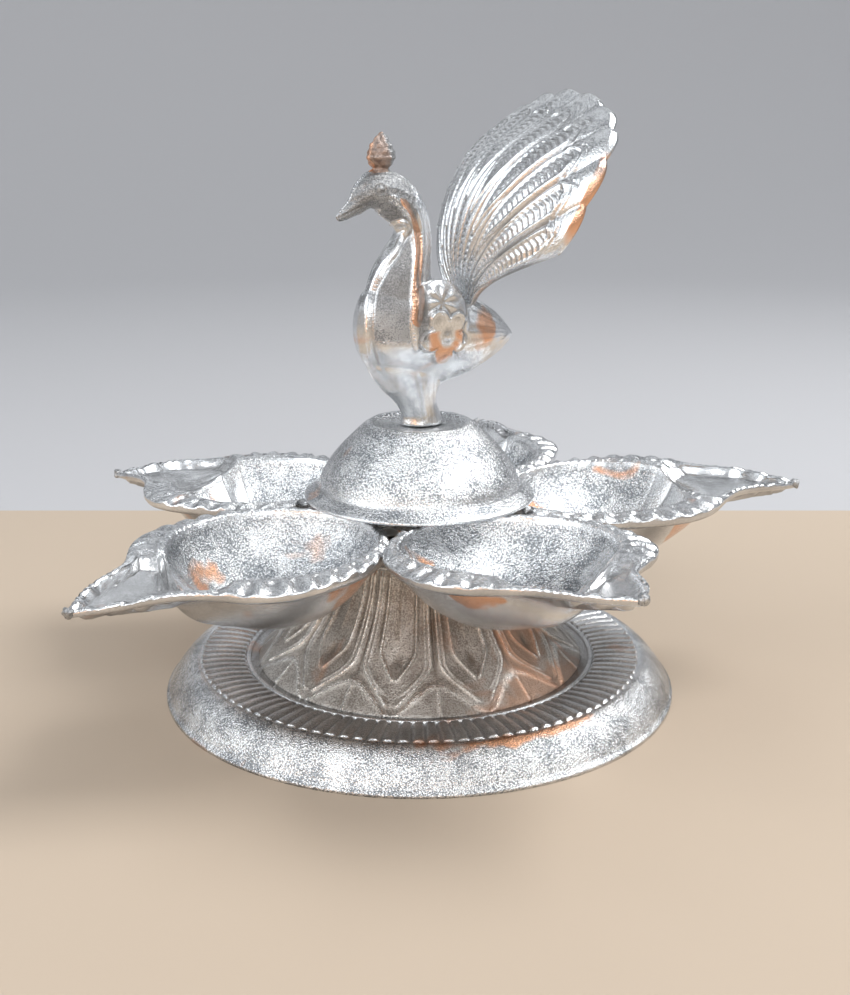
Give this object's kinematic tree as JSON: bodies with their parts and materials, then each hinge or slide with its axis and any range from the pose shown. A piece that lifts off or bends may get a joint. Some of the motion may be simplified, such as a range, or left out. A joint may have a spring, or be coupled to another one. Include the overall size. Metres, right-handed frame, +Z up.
{
  "type": "oil lamp",
  "caption": "Oil lamp with wick cups round a petalled stem on a fluted foot, under a domed cover with a peacock.",
  "frame": {"origin": "on the foot's axis, at the table's surface", "axes": "+Z up along the foot's axis, +X to the right and +Y away from the picture's camera; one cup points 7.4 degrees from +X and the peacock looks along the direction 210 degrees from +X"},
  "size_m": [0.1874, 0.1888, 0.148],
  "materials": {
    "silver_plate": "bright silver plate over cast and pressed white metal, finely grained",
    "dull_plate": "duller, greyer silver plate with brown in the hollows",
    "plated_steel": "zinc-plated steel"
  },
  "bodies": {
    "stand": {"base_foot": "silver_plate", "lotus_stem": "dull_plate", "cup_hub": "dull_plate", "diya_cup_1": "silver_plate", "diya_cup_2": "silver_plate", "diya_cup_3": "silver_plate", "diya_cup_4": "silver_plate", "diya_cup_5": "silver_plate", "cup_rivet_1": "plated_steel", "cup_rivet_2": "plated_steel", "cup_rivet_3": "plated_steel", "cup_rivet_4": "plated_steel", "cup_rivet_5": "plated_steel", "dome_cover": "silver_plate", "stud_washer": "plated_steel"},
    "peacock": {"peacock_body": "silver_plate", "peacock_tail": "silver_plate", "centre_stud": "plated_steel"},
    "nut": {"stud_nut": "plated_steel"}
  },
  "joints": [
    {"name": "peacock_turn", "type": "hinge", "parent": "stand", "child": "peacock", "pos_m": [0, 0, 0.072], "axis": [0, 0, 1], "range_deg": [0, 3150]},
    {"name": "nut_travel", "type": "slide", "parent": "stand", "child": "nut", "axis": [0, 0, 1], "range_m": [-0.0062, 0]}
  ],
  "couplings": [
    {"joint": "nut_travel", "follows": "peacock_turn", "m_per_rad": -0.00011141}
  ]
}
